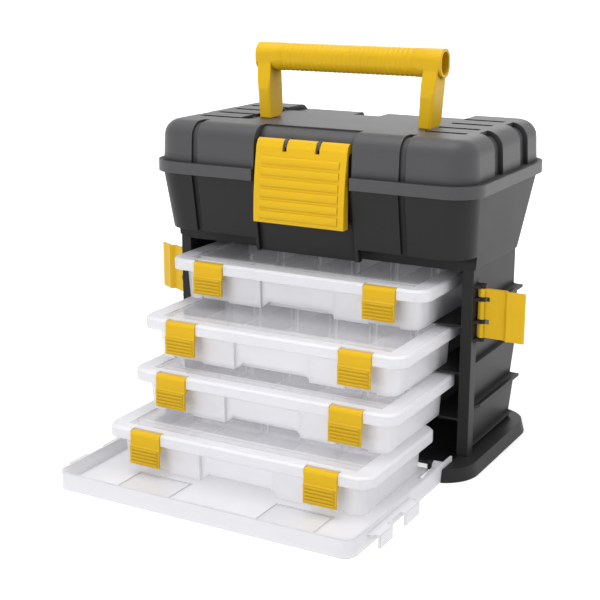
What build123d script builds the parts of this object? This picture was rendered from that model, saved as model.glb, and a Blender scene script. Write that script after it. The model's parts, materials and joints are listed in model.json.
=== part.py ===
"""Tool box with a lift-up lid on a rack of four slide-out organiser cases.

Millimetres. X runs across the front, Y from the front to the back and Z up.
The origin lies under the middle of the base, on the face that it stands on.
The rest pose is the box standing open: door down, cases pulled out, side latches swung out.
"""

import os
from math import cos, radians, sin, tan

from build123d import *

os.makedirs("parts", exist_ok=True)

# Running clearances and seats
pin_gap = 0.05
seat_gap = 0.3
side_gap = 0.4
wall = 2.6
overrun = 1.0
eye_sides = 8
corner_cut = 0.75

# Base: a pan with a sloped rim and two front feet beside the door
base_width = 275.0
base_depth = 153.0
base_corner = 29.0
rim_height = 9.5
rim_taper = 14.0
floor_thickness = 2.3

# Cabinet: two moulded side walls with front posts, and a back panel
cabinet_width = 252.0
cabinet_front = -41.0
cabinet_inset = 17.5
cabinet_top = 153.0
post_width = 8.6
post_depth = 10.0
panel_face = 124.6
panel_recess = 3.4
panel_edges = [13.6, 45.7, 78.8, 119.7]
edge_drop = 1.4
ledge_levels = [45.7, 119.7]
ledge_reach = 3.0
ledge_thickness = 2.2
ledge_overrun = 3.0

# Organiser cases: how far each is pulled out and how far it sits to one side
case_pulls = [24.6, 68.5, 85.1, 113.6]
case_shifts = [-2.3, 0.9, 2.7, -1.3]
case_pitch = 36.1
case_height = 32.4
case_bottom = floor_thickness + seat_gap
case_depth = 117.6
case_lid_half = 109.2
case_body_half = 100.8
runner_inner = 92.5
runner_thickness = 1.5

# Case details
latch_proud = 2.6
skirt_height = 8.6
case_skin = 1.5
skirt_skin = 1.4
lid_corner = 12.0
lid_edge = 1.4
body_corner = 8.0
body_front = 10.5
body_back_inset = 5.6
body_taper = 1.5
flange_gap = 0.5
flange_drop = 6.4
flange_skin = 1.5
window_margin = 14.0
window_front = 22.0
window_depth = 0.6
window_corner = 3.0
column_pitch = 35.0
column_count = 6
front_column = 48.0
long_wall = 33.0
divider_skin = 1.2
divider_drop = 2.0
pull_half = 31.5
pull_depth = 4.0
pull_rise = 5.0
pull_slope = 6.0
pull_reach = 12.0
notch_rise = 2.0
notch_reach = 3.0
latch_width = 25.6
latch_outer = 85.4
latch_height = 25.4
latch_skin_small = 1.8
latch_step_drop = 11.9
latch_axis_in = 5.5
latch_axis_drop = 3.0
latch_hub_small = 2.3
latch_bar = 1.1
pocket_depth = 5.8
pocket_gap = 0.4
hook_drop = 1.9
hook_reach = 6.8
small_rib_count = 5
small_rib_pitch = 2.6
small_rib_proud = 0.5
lid_hinge_width = 84.0
lid_hinge_ear = 3.0
lid_hinge_gap = 0.3
lid_hinge_hub = 2.2
lid_hinge_pin = 0.9
lid_hinge_in = 2.2
lid_hinge_drop = 2.5

# Front door, lying open in front of the base
door_half = 118.7
door_front = -217.2
door_back = -58.0
door_skin = 1.8
door_rim = 13.0
door_rim_skin = 1.6
door_corner = 9.0
door_frame_depth = 0.6
door_frame_width = 1.6
door_frame_back = -167.0
door_frame_front = -200.0
door_frame_size = 46.0
door_frame_x = 58.0
door_hinge_y = -56.7
door_hinge_z = 4.7
door_hub = 3.7
door_pin = 1.2
door_ear_x = 104.0
door_ear_width = 3.2
door_tail = -52.5
door_slope_start = -76.6
door_flange = 4.3
door_tab = 4.2
door_knuckle = 11.1
door_tab_height = 9.0
door_flange_back = -128.0
door_flange_front = -194.0
door_tabs = [(-152.0, -130.0), (-192.0, -173.0)]

# Upper box
box_top = 208.0
box_top_half = 131.8
box_top_front = -69.5
box_top_back = 87.5
box_bottom_half = 127.3
box_bottom_front = -60.6
box_bottom_back = 63.0
box_corner = 21.0
overhang_bottom = 162.8
groove_left = -93.5
groove_right = 80.7
groove_width = 5.4
groove_depth = 1.8
latch_bay_half = 41.0
bay_depth = 3.0
valance_drop = 2.0
valance_marks = [-60.7, 0.7, 57.1]
mark_size = 5.0
mark_depth = 1.2
catch_level = 183.0
catch_thickness = 2.4

# Lid of the upper box
lid_gap = 0.3
lid_top = 248.3
lid_taper = 3.0
shoulder = 13.0
lip_half = 135.7
lip_front = -72.6
lip_back = 91.2
lip_height = 8.8
lip_corner = 24.0
field_drop = 2.3
field_half = 78.5
field_front = -30.5
field_back = 50.0
back_step = 2.0
notch_left = -25.0
notch_right = -2.0
notch_front = 60.0
notch_step = 3.2
slot_outer = 112.0
slot_width = 6.0
slot_depth = 1.8
slot_count = 4
slot_pitch = 25.2
side_groove_centres = [-12.0, 41.0]
side_groove_width = 16.8
side_groove_depth = 3.6
bay_floor = -60.0
bay_shoulder = 236.0
bay_scoop = 11.0
lid_front_line = -49.0
lid_groove_inner = 118.0

# Lid hinge at the back
hinge_y = 95.5
hinge_z = 205.5
hinge_hub = 4.0
hinge_pin = 1.6
hinge_x = 72.0
hinge_knuckle = 20.0
hinge_ear = 7.0

# Big front latch
latch_half = 37.8
latch_axis_y = -64.4
latch_axis_z = 236.9
latch_hub = 3.6
latch_pin = 1.4
latch_bottom = 178.5
latch_skin = 2.6
latch_slot_x = 13.7
latch_slot = 3.4
lug_thickness = 2.6
latch_rib_count = 6
latch_rib_pitch = 8.0
latch_rib_width = 4.6
latch_rib_proud = 0.8
latch_rib_half = 31.0
latch_rib_start = 6.0
latch_bulge = 1.3
latch_crown_out = 2.6
latch_crown_rise = 2.4
latch_brow_out = 5.6
latch_brow_drop = 7.0
latch_foot_out = 10.2
latch_end_wall = 2.2
latch_slot_drop = 5.2
latch_hook_y = -67.4

# Handle
handle_y = 7.5
leg_outer = 73.6
leg_width = 10.4
leg_behind = 7.4
leg_ahead = 12.6
leg_spread = 3.6
leg_shoulder = 14.0
grip_half = 79.0
grip_top = 304.5
grip_height = 21.5
grip_depth = 17.6
grip_round = 8.4
grip_hollow = 14.0
grip_skin = 2.2
handle_pin = 2.0
leg_heel = 7.0
leg_edge = 1.6
leg_top_width = 12.0
lug_width = 3.6
fork_height = 18.0
fork_front = 2.2
lug_foot = 6.4
lug_eye = 4.6

# Side latches, swung out
side_axis_x = 129.4
side_axis_y = -30.5
side_latch_bottom = 101.0
side_latch_top = 138.0
side_hub = 3.0
side_pin = 1.3
side_latch_tip = 162.0
side_latch_skin = 2.2
side_arm_levels = [113.2, 130.0]
side_arm = 2.4
side_notch = 6.0
left_latch_swing = 27.0
side_bend_start = 18.0
side_bend_end = 23.5
side_bend = 2.6
bracket_gap = 0.5
bracket_thickness = 2.4

# Values that follow from the sizes above
cabinet_half = cabinet_width / 2
cabinet_back = base_depth / 2 - cabinet_inset
post_inner = cabinet_half - post_width
panel_back = panel_face - panel_recess
wall_inner = panel_back - wall
floor_front = cabinet_front - wall * 2
lid_bottom = box_top + lid_gap
lip_top = lid_bottom + lip_height
lid_centre_y = (lip_front + lip_back) / 2
field_level = lid_top - field_drop
back_level = field_level - back_step
notch_level = back_level - notch_step
handle_axis_z = field_level + leg_behind + side_gap
grip_centre_z = grip_top - grip_height / 2
bay_back = bay_floor + bay_scoop
case_front_closed = cabinet_back - seat_gap - case_depth
body_back = case_depth - body_back_inset
rim_half, rim_front, rim_back = box_top_half, box_top_front, box_top_back
body_top = case_height - case_skin - seat_gap
divider_top = body_top - divider_drop
flange_top = case_height - flange_drop
flange_low = flange_top - flange_skin
latch_step = case_height - latch_step_drop
flange_back = case_depth - skirt_skin - flange_gap
case_hinge_y = case_depth - lid_hinge_in
case_hinge_z = case_height - skirt_height - lid_hinge_drop
pocket_low = flange_top + flange_gap
hook_level = flange_low - hook_drop


def save(piece, name):
    """Label a finished piece and write it under its node name."""
    piece.label = name
    export_step(piece, f"parts/{name}.step")


def mirrored(piece):
    """The same piece on the other side of the box."""
    return mirror(piece, about=Plane.YZ)


def across(x):
    """A plane square to X at this X, whose own axes are Y and Z."""
    return Plane(origin=(x, 0, 0), x_dir=(0, 1, 0), z_dir=(1, 0, 0))


def pin_between(x_low, x_high, y, z, radius):
    """A round pin lying along X."""
    with BuildPart() as pin:
        with BuildSketch(across(x_low)):
            with Locations((y, z)):
                Circle(radius)
        extrude(amount=x_high - x_low)
    return pin.part


def cut_corners(width, depth, corner):
    """A rectangle whose corners are cut off straight, for hollows and hidden rims."""
    with BuildSketch() as plan:
        Rectangle(width, depth)
        chamfer(plan.vertices(), length=corner * corner_cut)
    return plan.sketch


def web_outline(points, y, z, hub):
    """A flat web with an eight-sided hub on its end."""
    with BuildSketch() as outline:
        with BuildLine():
            Polyline(*points, close=True)
        make_face()
        with Locations((y, z)):
            RegularPolygon(hub, eye_sides, major_radius=False)
    return outline.sketch


# Base
with BuildPart() as base:
    with BuildSketch(Plane.XY):
        RectangleRounded(base_width, base_depth, base_corner)
    extrude(amount=rim_height, taper=rim_taper)
    with BuildSketch(Plane.XY.offset(floor_thickness)):
        with Locations((0, (floor_front + cabinet_back) / 2)):
            Rectangle(2 * wall_inner, cabinet_back - floor_front)
    extrude(amount=rim_height, mode=Mode.SUBTRACT)
    with BuildSketch(Plane.XY):
        with Locations((0, floor_front)):
            Rectangle(2 * (door_half + side_gap), base_depth, align=(Align.CENTER, Align.MAX))
    extrude(amount=rim_height, mode=Mode.SUBTRACT)
    for side in (-1, 1):
        ear_low = side * door_ear_x - door_ear_width / 2
        ear_points = [
            (door_hinge_y, door_hinge_z - door_hub / 2),
            (floor_front + overrun, 0),
            (floor_front + overrun, floor_thickness),
            (door_hinge_y, door_hinge_z + door_hub / 2),
        ]
        with BuildSketch(across(ear_low)):
            add(web_outline(ear_points, door_hinge_y, door_hinge_z, door_hub))
        extrude(amount=door_ear_width)
        stub_length = door_ear_width / 2 + side_gap + door_knuckle
        stub_low = side * door_ear_x - (side < 0) * stub_length
        add(pin_between(stub_low, stub_low + stub_length, door_hinge_y, door_hinge_z, door_pin))
save(base.part, "base")


def panel_profile(shift):
    """Points down the louvred side panel, each louvre leaning out to its top edge."""
    points = [(panel_back + shift, cabinet_top)]
    for edge in reversed(panel_edges):
        points.append((panel_back + shift, edge + edge_drop))
        points.append((panel_face + shift, edge))
    points.append((panel_back + shift, rim_height))
    return points


# Right side wall with its front post, louvres, runners and the latch's bracket
with BuildPart() as side_wall_right:
    with BuildSketch(Plane.XZ.offset(-cabinet_front - post_depth)):
        with BuildLine():
            Polyline(*panel_profile(0), *reversed(panel_profile(-wall)), close=True)
        make_face()
    extrude(amount=-(cabinet_back - cabinet_front - post_depth))
    with BuildSketch(Plane.XY.offset(rim_height)):
        with BuildLine():
            Polyline(
                (post_inner, cabinet_front),
                (cabinet_half, cabinet_front),
                (cabinet_half, cabinet_front + post_depth),
                (wall_inner, cabinet_front + post_depth),
                (wall_inner, cabinet_front + wall),
                (post_inner, cabinet_front + wall),
                close=True,
            )
        make_face()
    extrude(amount=cabinet_top - rim_height)
    for level in ledge_levels:
        with BuildSketch(Plane.XY.offset(level - ledge_thickness)):
            with BuildLine():
                Polyline(
                    (panel_back - overrun, cabinet_front + post_depth),
                    (panel_face, cabinet_front + post_depth),
                    (panel_face + ledge_reach, cabinet_front + post_depth + 3 * ledge_reach),
                    (panel_face + ledge_reach, cabinet_back + ledge_overrun),
                    (panel_back - overrun, cabinet_back + ledge_overrun),
                    close=True,
                )
            make_face()
        extrude(amount=ledge_thickness)
    for step in range(1, len(case_pulls)):
        runner_top = case_bottom + step * case_pitch - seat_gap
        with BuildSketch(Plane.XY.offset(runner_top - runner_thickness)):
            with Locations((runner_inner, cabinet_front)):
                Rectangle(
                    panel_back - overrun - runner_inner,
                    cabinet_back - cabinet_front,
                    align=(Align.MIN, Align.MIN),
                )
        extrude(amount=runner_thickness)
    bracket_levels = [
        (side_latch_bottom - bracket_gap - bracket_thickness, bracket_thickness),
        (side_latch_top + bracket_gap, bracket_thickness),
    ]
    bracket_levels += [(level - side_arm / 2, side_arm) for level in side_arm_levels]
    for level, thickness in bracket_levels:
        with BuildSketch(Plane.XY.offset(level)):
            with BuildLine():
                Polyline(
                    (cabinet_half - overrun, cabinet_front + overrun),
                    (side_axis_x, side_axis_y - side_hub),
                    (side_axis_x + side_hub / 2, side_axis_y - side_hub),
                    (side_axis_x + side_hub, side_axis_y - side_hub / 2),
                    (side_axis_x + side_hub, side_axis_y + side_hub / 2),
                    (side_axis_x + side_hub / 2, side_axis_y + side_hub),
                    (panel_back, side_axis_y + side_hub),
                    (panel_back, cabinet_front + post_depth / 2),
                    close=True,
                )
            make_face()
        extrude(amount=thickness)
    pin_bottom = side_latch_bottom - bracket_gap - bracket_thickness / 2
    with BuildSketch(Plane.XY.offset(pin_bottom)):
        with Locations((side_axis_x, side_axis_y)):
            RegularPolygon(side_pin, eye_sides)
    extrude(amount=side_latch_top + bracket_gap + bracket_thickness / 2 - pin_bottom)
    with BuildSketch(Plane.XY.offset(side_arm_levels[0])):
        with Locations((side_axis_x, side_axis_y)):
            Circle(side_pin)
    extrude(amount=side_arm_levels[1] - side_arm_levels[0])
save(side_wall_right.part, "side_wall_right")
save(mirrored(side_wall_right.part), "side_wall_left")

# Back panel against the side walls' back edges
with BuildPart() as back_panel:
    with BuildSketch(Plane.XY.offset(rim_height)):
        with Locations((0, cabinet_back)):
            Rectangle(2 * (panel_back - overrun), wall, align=(Align.CENTER, Align.MIN))
    extrude(amount=cabinet_top - rim_height)
save(back_panel.part, "back_panel")


def outline_at(level, inset):
    """Half width, front and back of the upper box at a level, drawn in all round."""
    rise = (level - cabinet_top) / (box_top - cabinet_top)
    half = box_bottom_half + rise * (box_top_half - box_bottom_half)
    front = box_bottom_front + rise * (box_top_front - box_bottom_front)
    back = box_bottom_back + rise * (box_top_back - box_bottom_back)
    return half - inset, front + inset, back - inset


def tapered_block(bottom, top, inset):
    """The upper box's own form between two levels, drawn in all round."""
    with BuildPart() as block:
        for level in (bottom, top):
            half, front, back = outline_at(level, inset)
            with BuildSketch(Plane.XY.offset(level)):
                with Locations((0, (front + back) / 2)):
                    if inset < wall:
                        RectangleRounded(2 * half, back - front, box_corner - inset)
                    else:
                        add(cut_corners(2 * half, back - front, box_corner - inset))
        loft()
    return block.part


def box_between(low, high):
    """A plain block between two corners."""
    size = [high[axis] - low[axis] for axis in range(3)]
    with BuildPart() as block:
        with BuildSketch(Plane.XY.offset(low[2])):
            with Locations((low[0], low[1])):
                Rectangle(size[0], size[1], align=(Align.MIN, Align.MIN))
        extrude(amount=size[2])
    return block.part


def front_layer(x_low, x_high, depth, overlap):
    """The outer layer of the upper box's front wall between two X values."""
    with BuildPart() as layer:
        add(tapered_block(cabinet_top, box_top, -overlap))
        add(tapered_block(cabinet_top, box_top, depth), mode=Mode.SUBTRACT)
        reach = (x_low, box_top_front - box_corner, cabinet_top)
        add(box_between(reach, (x_high, cabinet_front, box_top)), mode=Mode.INTERSECT)
    return layer.part


def overhang_floor():
    """The raised floor of the box's part that overhangs the cabinet's front."""
    with BuildPart() as slab:
        add(tapered_block(overhang_bottom, overhang_bottom + wall, 0))
        below = (-base_width, -base_width, cabinet_top)
        add(box_between(below, (base_width, cabinet_front + wall, box_top)), mode=Mode.INTERSECT)
    return slab.part


def bored_web(x_low, width, points, y, z, bore):
    """A moulded hinge ear with a flat-sided eye round its pin."""
    with BuildPart() as web:
        with BuildSketch(across(x_low)):
            with BuildLine():
                Polyline(*points, close=True)
            make_face()
            with Locations((y, z)):
                RegularPolygon(bore, eye_sides, major_radius=False, mode=Mode.SUBTRACT)
        extrude(amount=width)
    return web.part


# Upper box, moulded with the valance over the cabinet's front opening
with BuildPart() as upper_box:
    add(tapered_block(cabinet_top, box_top, 0))
    add(tapered_block(cabinet_top + wall, box_top + wall, wall), mode=Mode.SUBTRACT)
    below = (-base_width, -base_width, cabinet_top - wall)
    add(box_between(below, (base_width, cabinet_front, overhang_bottom)), mode=Mode.SUBTRACT)
    add(overhang_floor())
    step_half = box_bottom_half - wall / 2
    add(
        box_between(
            (-step_half, cabinet_front, cabinet_top),
            (step_half, cabinet_front + wall, overhang_bottom + wall),
        )
    )
    valance_half = post_inner - side_gap
    add(
        box_between(
            (-valance_half, cabinet_front, cabinet_top - valance_drop),
            (valance_half, cabinet_front + wall, cabinet_top),
        )
    )
    add(front_layer(-latch_bay_half - wall, latch_bay_half + wall, bay_depth + wall, 0))
    add(front_layer(-latch_bay_half, latch_bay_half, bay_depth, overrun), mode=Mode.SUBTRACT)
    for x in (groove_left, groove_right):
        groove = front_layer(x - groove_width / 2, x + groove_width / 2, groove_depth, overrun)
        add(groove, mode=Mode.SUBTRACT)
    bay_front = outline_at(catch_level, bay_depth + wall / 2)[1]
    catch_tip = latch_hook_y + seat_gap
    add(
        box_between(
            (-latch_half, catch_tip, catch_level),
            (latch_half, bay_front, catch_level + catch_thickness),
        )
    )
    with BuildSketch(Plane.XZ.offset(-cabinet_front - mark_depth)):
        for x in valance_marks:
            with Locations((x, overhang_bottom - mark_size / 2)):
                RegularPolygon(mark_size / 2, 3, rotation=-90)
    extrude(amount=mark_depth, mode=Mode.SUBTRACT)
    for side in (-1, 1):
        for end in (-1, 1):
            ear_centre = side * hinge_x + end * (hinge_knuckle / 2 + side_gap + hinge_ear / 2)
            low_back = outline_at(hinge_z - 2 * hinge_hub, wall / 2)[2]
            high_back = outline_at(hinge_z + hinge_hub / 3, wall / 2)[2]
            ear_points = [
                (low_back, hinge_z - 2 * hinge_hub),
                (hinge_y, hinge_z - hinge_hub),
                (hinge_y + hinge_hub / 2, hinge_z - hinge_hub),
                (hinge_y + hinge_hub, hinge_z - hinge_hub / 2),
                (hinge_y + hinge_hub, hinge_z),
                (hinge_y + hinge_hub / 2, hinge_z + hinge_hub / 2),
                (hinge_y, hinge_z + hinge_pin + wall / 2),
                (high_back, hinge_z + hinge_hub / 3),
            ]
            ear_low = ear_centre - hinge_ear / 2
            bore = hinge_pin + pin_gap
            add(bored_web(ear_low, hinge_ear, ear_points, hinge_y, hinge_z, bore))
save(upper_box.part, "upper_box")

for side, name in ((-1, "left"), (1, "right")):
    half_pin = hinge_knuckle / 2 + side_gap + hinge_ear
    centre = side * hinge_x
    save(
        pin_between(centre - half_pin, centre + half_pin, hinge_y, hinge_z, hinge_pin),
        f"lid_hinge_pin_{name}",
    )


def lid_block(inset, top):
    """The lid's rounded body above the parting line, drawn in all round."""
    half, front, back = rim_half - inset, rim_front + inset, rim_back - inset
    with BuildPart() as block:
        with BuildSketch(Plane.XY.offset(lid_bottom)):
            with Locations((0, (front + back) / 2)):
                RectangleRounded(2 * half, back - front, box_corner - inset)
        extrude(amount=top - lid_bottom, taper=lid_taper)
        fillet(block.edges().group_by(Axis.Z)[-1], radius=shoulder - inset)
    return block.part


def lid_layer(depth, overlap):
    """The outer layer of the lid's body, down to a depth below its surface."""
    with BuildPart() as layer:
        add(lid_block(-overlap, lid_top + overlap))
        add(lid_block(depth, lid_top - depth), mode=Mode.SUBTRACT)
    return layer.part


def side_grooves():
    """What the lid's wide side grooves take from its surface."""
    inner = lid_groove_inner
    with BuildPart() as grooves:
        for y in side_groove_centres:
            low_y = y - side_groove_width / 2
            high_y = y + side_groove_width / 2
            add(box_between((inner, low_y, lip_top), (lip_half, high_y, lid_top)))
            add(box_between((-lip_half, low_y, lip_top), (-inner, high_y, lid_top)))
        add(lid_layer(side_groove_depth, overrun), mode=Mode.INTERSECT)
    return grooves.part


def groove_backing():
    """The thicker rim, cut straight across the shoulder, that the side grooves lie in."""
    drawn_in = side_groove_depth + wall
    foot = rim_half - drawn_in
    lean = (lid_top - shoulder - lid_bottom) * tan(radians(lid_taper))
    with BuildPart() as backing:
        for y in side_groove_centres:
            with BuildSketch(Plane.XZ.offset(-y - side_groove_width / 2 - wall)):
                for side in (-1, 1):
                    with BuildLine():
                        Polyline(
                            (side * rim_half, lid_bottom),
                            (side * foot, lid_bottom),
                            (side * (foot - lean), lid_top - shoulder),
                            (side * (rim_half - lean - shoulder), lid_top - drawn_in),
                            (side * (lid_groove_inner - wall), lid_top - drawn_in),
                            (side * (lid_groove_inner - wall), lid_top),
                            (side * rim_half, lid_top),
                            close=True,
                        )
                    make_face()
            extrude(amount=side_groove_width + 2 * wall)
    return backing.part


def front_grooves():
    """What the narrow front grooves take from the lid's surface."""
    with BuildPart() as grooves:
        for x in (groove_left, groove_right):
            low = (x - groove_width / 2, lip_front, lip_top)
            high = (x + groove_width / 2, lid_front_line, lid_top + overrun)
            add(box_between(low, high))
        add(lid_layer(groove_depth, overrun), mode=Mode.INTERSECT)
    return grooves.part


def latch_bay(grow):
    """The bay in the lid's front that the latch hangs in, with a rounded top edge."""
    floor_y = bay_floor + grow
    with BuildPart() as bay:
        with BuildSketch(across(-latch_bay_half - grow)):
            with BuildLine():
                Line((lip_front - wall, lid_bottom - wall), (floor_y, lid_bottom - wall))
                Line((floor_y, lid_bottom - wall), (floor_y, bay_shoulder))
                ThreePointArc(
                    (floor_y, bay_shoulder),
                    (
                        bay_back - (bay_scoop - grow) * cos(radians(45)),
                        bay_shoulder + (bay_scoop - grow) * sin(radians(45)),
                    ),
                    (bay_back, bay_shoulder + bay_scoop - grow),
                )
                Polyline(
                    (bay_back, bay_shoulder + bay_scoop - grow),
                    (bay_back, lid_top + wall),
                    (lip_front - wall, lid_top + wall),
                    (lip_front - wall, lid_bottom - wall),
                )
            make_face()
        extrude(amount=2 * (latch_bay_half + grow))
    return bay.part


def back_field(grow):
    """The two lower steps of the field towards the lid's back, grown all round."""
    back = lip_back + grow
    top = lid_top + overrun
    with BuildPart() as steps:
        low = (-field_half - grow, field_back - grow, back_level - grow)
        add(box_between(low, (field_half + grow, back, top)))
        low = (notch_left - grow, notch_front - grow, notch_level - grow)
        add(box_between(low, (notch_right + grow, back, top)))
    return steps.part


def lid_cavity():
    """The hollow under the lid, which keeps one wall behind the grooves, steps and bay."""
    with BuildPart() as cavity:
        with BuildSketch(Plane.XY.offset(lid_bottom)):
            with Locations((0, (rim_front + rim_back) / 2)):
                hollow_depth = rim_back - rim_front - 2 * wall
                add(cut_corners(2 * (rim_half - wall), hollow_depth, box_corner - wall))
        extrude(amount=field_level - wall - lid_bottom, taper=lid_taper)
        chamfer(cavity.edges().group_by(Axis.Z)[-1], length=shoulder - 2 * wall)
        add(latch_bay(wall), mode=Mode.SUBTRACT)
        add(groove_backing(), mode=Mode.SUBTRACT)
        add(back_field(wall), mode=Mode.SUBTRACT)
    return cavity.part


# Lid with its lip, grooves, latch bay, handle field and slotted pads
with BuildPart() as lid:
    add(lid_block(0, lid_top))
    with BuildSketch(Plane.XY.offset(lid_bottom)):
        with Locations((0, lid_centre_y)):
            RectangleRounded(2 * lip_half, lip_back - lip_front, lip_corner)
    extrude(amount=lip_height)
    add(side_grooves(), mode=Mode.SUBTRACT)
    add(front_grooves(), mode=Mode.SUBTRACT)
    add(latch_bay(0), mode=Mode.SUBTRACT)
    with BuildSketch(Plane.XY.offset(field_level)):
        with Locations((0, field_front)):
            field_size = field_back + overrun - field_front
            Rectangle(2 * field_half, field_size, align=(Align.CENTER, Align.MIN))
    extrude(amount=field_drop, mode=Mode.SUBTRACT)
    add(back_field(0), mode=Mode.SUBTRACT)
    with BuildSketch(Plane.XY.offset(lid_top - slot_depth)):
        for row in range(slot_count):
            y = lid_centre_y + (row - (slot_count - 1) / 2) * slot_pitch
            with Locations((0, y)):
                Rectangle(2 * slot_outer, slot_width)
                Rectangle(2 * (field_half - overrun), slot_width, mode=Mode.SUBTRACT)
    extrude(amount=slot_depth, mode=Mode.SUBTRACT)
    add(lid_cavity(), mode=Mode.SUBTRACT)
    for side in (-1, 1):
        leg_centre = side * (leg_outer - leg_width / 2)
        lug_points = [
            (handle_y - lug_foot, field_level - wall / 2),
            (handle_y + lug_foot, field_level - wall / 2),
            (handle_y + lug_eye, handle_axis_z + lug_eye / 2),
            (handle_y + lug_eye / 2, handle_axis_z + lug_eye),
            (handle_y - lug_eye / 2, handle_axis_z + lug_eye),
            (handle_y - lug_eye, handle_axis_z + lug_eye / 2),
        ]
        lug_low = leg_centre - lug_width / 2
        bore = handle_pin + pin_gap
        add(bored_web(lug_low, lug_width, lug_points, handle_y, handle_axis_z, bore))
        latch_lug_points = [
            (latch_axis_y - latch_hub / 2, latch_axis_z - latch_hub),
            (bay_floor + wall / 2, latch_axis_z - 2 * latch_hub),
            (bay_floor + wall, latch_axis_z + latch_hub),
            (latch_axis_y - latch_hub / 2, latch_axis_z + latch_hub),
            (latch_axis_y - latch_hub, latch_axis_z + latch_hub / 2),
            (latch_axis_y - latch_hub, latch_axis_z - latch_hub / 2),
        ]
        lug_low = side * latch_slot_x - lug_thickness / 2
        bore = latch_pin + pin_gap
        add(
            bored_web(
                lug_low, lug_thickness, latch_lug_points, latch_axis_y, latch_axis_z, bore
            )
        )
        knuckle_points = [
            (lip_back - wall, lid_bottom + overrun),
            (lip_back - wall, lip_top),
            (lip_back + wall, lip_top),
            (hinge_y + hinge_hub, hinge_z + hinge_hub / 4),
            (hinge_y + hinge_hub, hinge_z - hinge_hub / 2),
            (hinge_y + hinge_hub / 2, hinge_z - hinge_hub),
            (hinge_y - hinge_hub / 2, hinge_z - hinge_hub),
            (hinge_y - hinge_hub, hinge_z - hinge_hub / 2),
            (hinge_y - hinge_hub + seat_gap, hinge_z + hinge_hub / 2),
        ]
        knuckle_low = side * hinge_x - hinge_knuckle / 2
        bore = hinge_pin + pin_gap
        add(bored_web(knuckle_low, hinge_knuckle, knuckle_points, hinge_y, hinge_z, bore))
save(lid.part, "lid")

# Big latch on the lid's front: curved plate, end walls, three knuckles, ribs and a bottom hook
crown = (latch_axis_y - latch_crown_out, latch_axis_z + latch_crown_rise)
brow = (latch_axis_y - latch_brow_out, latch_axis_z - latch_brow_drop)
foot = (latch_axis_y - latch_foot_out, latch_bottom)
plate_middle = ((brow[0] + foot[0]) / 2 - latch_bulge, (brow[1] + foot[1]) / 2)
with BuildPart() as lid_latch:
    with BuildSketch(across(-latch_half)):
        with BuildLine():
            Polyline(
                (latch_axis_y, latch_axis_z + latch_hub),
                crown,
                (brow[0] + overrun / 2, (crown[1] + brow[1]) / 2),
                brow,
            )
            ThreePointArc(brow, plate_middle, foot)
            Polyline(
                foot,
                (latch_hook_y, latch_bottom),
                (latch_hook_y, latch_bottom + latch_skin),
                (foot[0] + latch_skin, latch_bottom + latch_skin),
            )
            ThreePointArc(
                (foot[0] + latch_skin, latch_bottom + latch_skin),
                (plate_middle[0] + latch_skin, plate_middle[1]),
                (brow[0] + latch_skin, brow[1]),
            )
            Polyline(
                (brow[0] + latch_skin, brow[1]),
                (latch_axis_y, latch_axis_z - latch_hub),
                (latch_axis_y + latch_hub / 2, latch_axis_z - latch_hub),
                (latch_axis_y + latch_hub, latch_axis_z - latch_hub / 2),
                (latch_axis_y + latch_hub, latch_axis_z + latch_hub / 2),
                (latch_axis_y, latch_axis_z + latch_hub),
            )
        make_face()
    extrude(amount=2 * latch_half)
    for x in (-latch_half, latch_half - latch_end_wall):
        with BuildSketch(across(x)):
            with BuildLine():
                ThreePointArc(brow, plate_middle, foot)
                Polyline(
                    foot,
                    (latch_hook_y, latch_bottom),
                    (latch_hook_y, latch_axis_z - 2 * latch_hub),
                    brow,
                )
            make_face()
        extrude(amount=latch_end_wall)
    for side in (-1, 1):
        slot_low = side * latch_slot_x - latch_slot / 2
        slot_bottom = latch_axis_z - latch_slot_drop
        far = (slot_low, lip_front - wall, slot_bottom)
        add(box_between(far, (slot_low + latch_slot, bay_floor, lid_top)), mode=Mode.SUBTRACT)
        bar_low = slot_low - overrun
        bar_high = slot_low + latch_slot + overrun
        add(pin_between(bar_low, bar_high, latch_axis_y, latch_axis_z, latch_pin))
    for rib in range(latch_rib_count):
        z = latch_bottom + latch_rib_start + latch_rib_pitch * rib
        share = (brow[1] - z) / (brow[1] - latch_bottom)
        bulge = latch_bulge * (1 - (2 * share - 1) ** 2)
        y = brow[0] + share * (foot[0] - brow[0]) - bulge
        with BuildSketch(across(-latch_rib_half)):
            with BuildLine():
                Polyline(
                    (y + overrun, z - latch_rib_width / 2),
                    (y, z - latch_rib_width / 2),
                    (y - latch_rib_proud, z - latch_rib_width / 4),
                    (y - latch_rib_proud, z + latch_rib_width / 4),
                    (y, z + latch_rib_width / 2),
                    (y + overrun, z + latch_rib_width / 2),
                    close=True,
                )
            make_face()
        extrude(amount=2 * latch_rib_half)
save(lid_latch.part, "lid_latch")


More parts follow.
